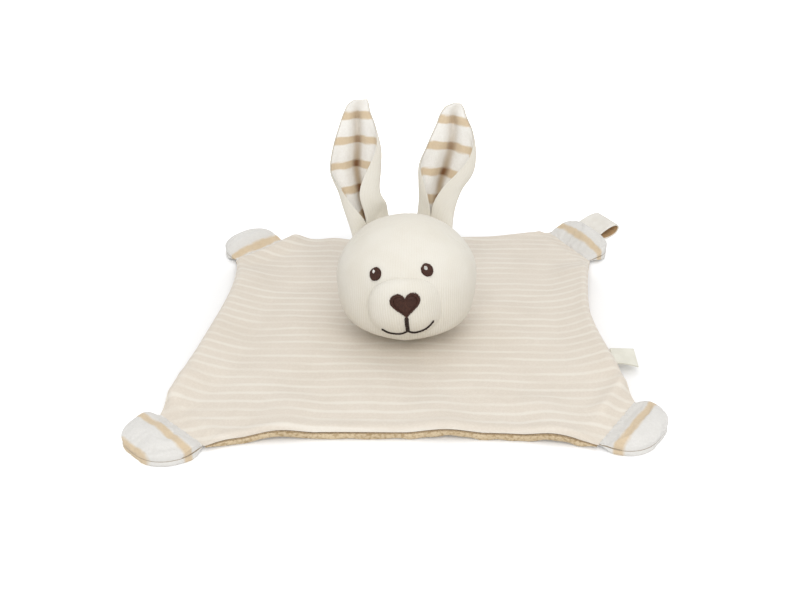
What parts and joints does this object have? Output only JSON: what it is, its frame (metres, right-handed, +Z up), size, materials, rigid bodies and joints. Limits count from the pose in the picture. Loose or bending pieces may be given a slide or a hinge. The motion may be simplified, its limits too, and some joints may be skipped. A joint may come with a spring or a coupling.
{
  "type": "comfort blanket lovey",
  "caption": "Flat two-layer striped cloth with a stuffed rabbit head sewn to its middle, puffed corner paws, a fabric loop and a side label.",
  "frame": {"origin": "on the resting plane under the middle of the cloth's corner seams", "axes": "+Z up from the cloth's underside, the rabbit's face looks to -Y, +X to the side with the label and the loop"},
  "size_m": [0.2892, 0.2996, 0.1333],
  "materials": {
    "striped_velour": "beige velour with thin cream stripes, soft pile",
    "tan_terry": "looped terry, matte",
    "white_velour": "white velour with tan stripes, soft pile",
    "cream_jersey": "fine ribbed jersey, matte",
    "fill": "loose fibre filling",
    "brown_thread": "satin stitch, slight sheen",
    "dark_thread": "stitched line, matte",
    "white_thread": "satin stitch, slight sheen",
    "label_tape": "woven tape, smooth, bare",
    "cream_strap": "soft folded strap, matte"
  },
  "bodies": {
    "blanket": {"blanket_top": "striped_velour", "blanket_back": "tan_terry"},
    "neck": {"neck_gather": "cream_jersey"},
    "neck_ring": {"neck_stitching": "white_thread"},
    "head": {"head_face": "cream_jersey", "head_back_left": "cream_jersey", "head_back_right": "cream_jersey", "head_stuffing": "fill", "muzzle_cover": "cream_jersey", "muzzle_stuffing": "fill", "eye_left": "brown_thread", "glint_left": "white_thread", "eye_right": "brown_thread", "glint_right": "white_thread", "nose": "brown_thread", "mouth_stitch": "dark_thread"},
    "ear_left": {"ear_left_outer": "cream_jersey", "ear_left_inner": "white_velour"},
    "ear_right": {"ear_right_outer": "cream_jersey", "ear_right_inner": "white_velour"},
    "paw_front_left": {"paw_front_left_top": "white_velour", "paw_front_left_back": "white_velour", "paw_front_left_wadding": "fill"},
    "paw_front_right": {"paw_front_right_top": "white_velour", "paw_front_right_back": "white_velour", "paw_front_right_wadding": "fill"},
    "paw_back_left": {"paw_back_left_top": "white_velour", "paw_back_left_back": "white_velour", "paw_back_left_wadding": "fill"},
    "paw_back_right": {"paw_back_right_top": "white_velour", "paw_back_right_back": "white_velour", "paw_back_right_wadding": "fill"},
    "loop": {"hanging_loop": "cream_strap"},
    "label": {"side_label": "label_tape"}
  },
  "joints": [
    {"name": "head_turn", "type": "hinge", "parent": "blanket", "child": "neck", "pos_m": [0, -0.006, 0.0056], "axis": [0, 0, 1], "range_deg": [-40, 40]},
    {"name": "head_nod", "type": "hinge", "parent": "neck", "child": "neck_ring", "pos_m": [0, -0.006, 0.0056], "axis": [1, 0, 0], "range_deg": [-20, 8]},
    {"name": "head_tilt", "type": "hinge", "parent": "neck_ring", "child": "head", "pos_m": [0, -0.006, 0.0056], "axis": [0, 1, 0], "range_deg": [-10, 10]},
    {"name": "ear_left_fold", "type": "hinge", "parent": "head", "child": "ear_left", "pos_m": [-0.02655, 0.01378, 0.05993], "axis": [0.7774, 0.4905, 0.3937], "range_deg": [-60, 20], "stiffness_Nm_per_rad": 0.008},
    {"name": "ear_right_fold", "type": "hinge", "parent": "head", "child": "ear_right", "pos_m": [0.01729, 0.01816, 0.06316], "axis": [0.918, -0.3107, -0.2465], "range_deg": [-60, 20], "stiffness_Nm_per_rad": 0.008},
    {"name": "paw_front_left_fold", "type": "hinge", "parent": "blanket", "child": "paw_front_left", "pos_m": [-0.11125, -0.11812, 0.0028], "axis": [0.7234, -0.6905, 0], "range_deg": [-100, 100]},
    {"name": "paw_front_right_fold", "type": "hinge", "parent": "blanket", "child": "paw_front_right", "pos_m": [0.11031, -0.10562, 0.0028], "axis": [0.5325, 0.8465, 0], "range_deg": [-100, 100]},
    {"name": "paw_back_left_fold", "type": "hinge", "parent": "blanket", "child": "paw_back_left", "pos_m": [-0.10531, 0.10375, 0.0028], "axis": [-0.609, -0.7932, 0], "range_deg": [-100, 100]},
    {"name": "paw_back_right_fold", "type": "hinge", "parent": "blanket", "child": "paw_back_right", "pos_m": [0.11281, 0.11656, 0.0028], "axis": [-0.4138, 0.9104, 0], "range_deg": [-100, 100]},
    {"name": "loop_fold", "type": "hinge", "parent": "paw_back_right", "child": "loop", "pos_m": [0.12646, 0.13375, 0.006], "axis": [-0.4138, 0.9104, 0], "range_deg": [-30, 30]},
    {"name": "label_fold", "type": "hinge", "parent": "blanket", "child": "label", "pos_m": [0.11762, -0.04538, 0.00744], "axis": [0, 1, 0], "range_deg": [-70, 70]}
  ]
}
